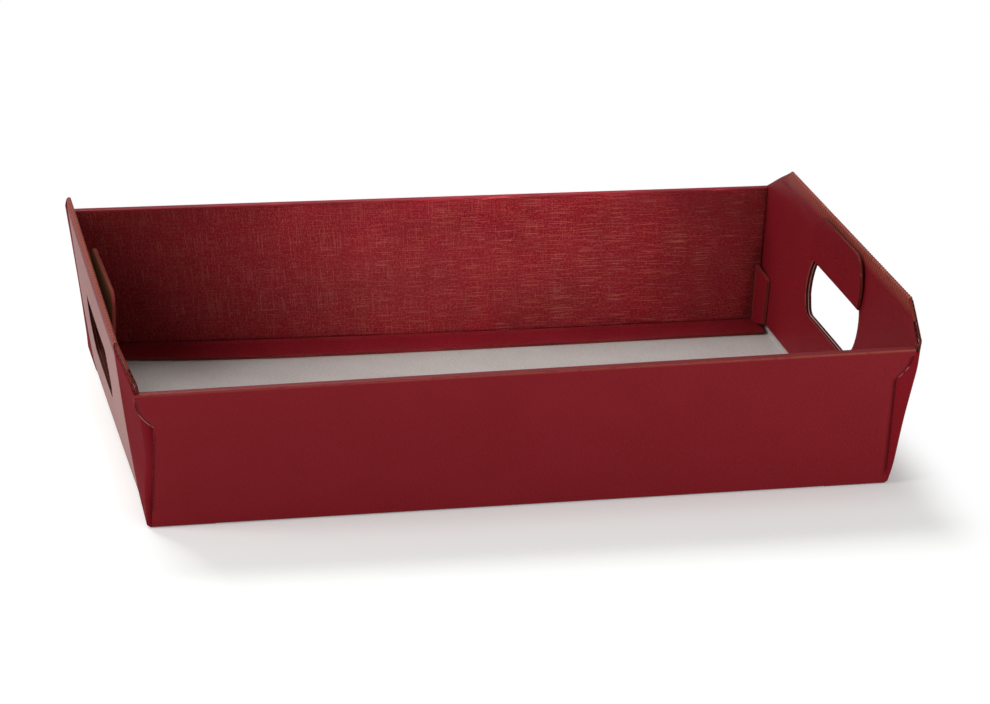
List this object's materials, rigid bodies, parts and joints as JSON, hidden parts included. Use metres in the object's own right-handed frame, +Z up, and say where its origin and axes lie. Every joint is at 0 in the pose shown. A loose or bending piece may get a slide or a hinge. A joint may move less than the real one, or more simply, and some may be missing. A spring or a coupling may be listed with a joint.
{
  "type": "cardboard tray",
  "caption": "Open tray folded from one sheet of fine corrugated card, with flared double walls and a hand hole in each raised end.",
  "frame": {"origin": "middle of the underside of the floor", "axes": "X runs along the tray from hand hole to hand hole, Y across it, +Z up"},
  "size_m": [0.3948, 0.2702, 0.09],
  "materials": {
    "card": "satin"
  },
  "bodies": {
    "root": {"tray": "card"}
  },
  "joints": []
}
